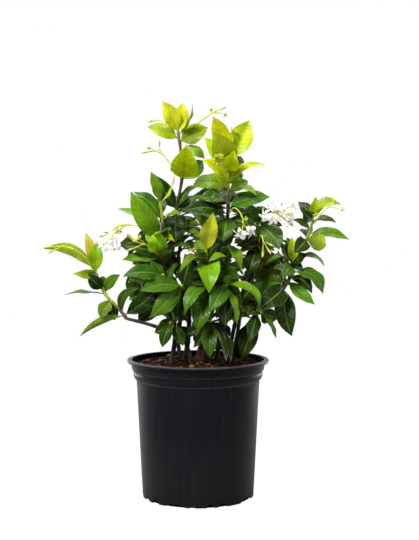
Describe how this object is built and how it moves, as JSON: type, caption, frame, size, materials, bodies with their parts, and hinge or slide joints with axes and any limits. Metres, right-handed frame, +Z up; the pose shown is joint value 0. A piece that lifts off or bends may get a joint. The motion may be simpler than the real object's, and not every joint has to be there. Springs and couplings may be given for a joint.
{
  "type": "potted star jasmine",
  "caption": "Evergreen climber in a round black nursery pot: woody stems in bark soil, opposite glossy leaves, long leaders with pale young tips, and sprays of white star flowers and buds.",
  "frame": {"origin": "Centre of the pot's flat underside, on the pot's axis.", "axes": "+Z up along the pot's axis, -Y towards the viewer of the front with the two leaders, +X to the viewer's right."},
  "size_m": [0.4511, 0.3024, 0.5902],
  "materials": {
    "pot": "satin",
    "soil": "matte",
    "bark": "matte",
    "leaf_dark": "satin",
    "leaf_mature": "satin",
    "leaf_mid": "satin",
    "leaf_lime": "satin",
    "leaf_yellow": "satin",
    "bud_green": "satin",
    "flower_white": "matte"
  },
  "bodies": {
    "root": {"pot": "pot", "soil": "soil", "stem_back": "bark", "stem_back_left": "bark", "stem_back_right": "bark", "stem_centre": "bark", "stem_far_left": "bark", "stem_left": "bark", "stem_left_leader": "bark", "stem_right": "bark", "stem_right_back": "bark", "stem_right_leader": "bark", "shoot_back_a": "leaf_mature", "shoot_back_b": "leaf_dark", "shoot_back_c": "leaf_mature", "shoot_back_left_a": "leaf_dark", "shoot_back_left_b": "leaf_dark", "shoot_back_left_c": "leaf_mid", "shoot_back_right_a": "leaf_mature", "shoot_back_right_b": "leaf_mature", "shoot_back_right_c": "leaf_dark", "shoot_centre": "leaf_mid", "shoot_centre_foot": "leaf_dark", "shoot_far_left": "leaf_mature", "shoot_far_right": "leaf_dark", "shoot_heart_left": "leaf_dark", "shoot_inner_a": "leaf_mature", "shoot_inner_b": "leaf_mature", "shoot_inner_c": "leaf_dark", "shoot_inner_d": "leaf_mature", "shoot_inner_e": "leaf_dark", "shoot_inner_f": "leaf_mature", "shoot_inner_g": "leaf_dark", "shoot_inner_h": "leaf_dark", "shoot_inner_i": "leaf_mature", "shoot_inner_j": "leaf_dark", "shoot_inner_k": "leaf_dark", "shoot_left_foot": "leaf_mature", "shoot_left_leader": "leaf_dark", "shoot_left_leader_top": "leaf_yellow", "shoot_low_centre": "leaf_dark", "shoot_low_left": "leaf_dark", "shoot_low_right": "leaf_mid", "shoot_mid_left": "leaf_mature", "shoot_right_back": "leaf_dark", "shoot_right_foot": "leaf_mature", "shoot_right_leader": "leaf_mid", "shoot_right_leader_top": "leaf_lime", "spray_calyces": "bud_green", "spray_far_left": "bud_green", "spray_far_right": "flower_white", "spray_hanging": "bud_green", "spray_leader_arch": "bud_green", "spray_leader_bud": "bud_green", "spray_leader_fork": "bud_green", "spray_leader_tip": "bud_green", "spray_left": "flower_white", "spray_mid_buds": "bud_green", "spray_pair": "flower_white", "spray_right": "flower_white"}
  },
  "joints": []
}
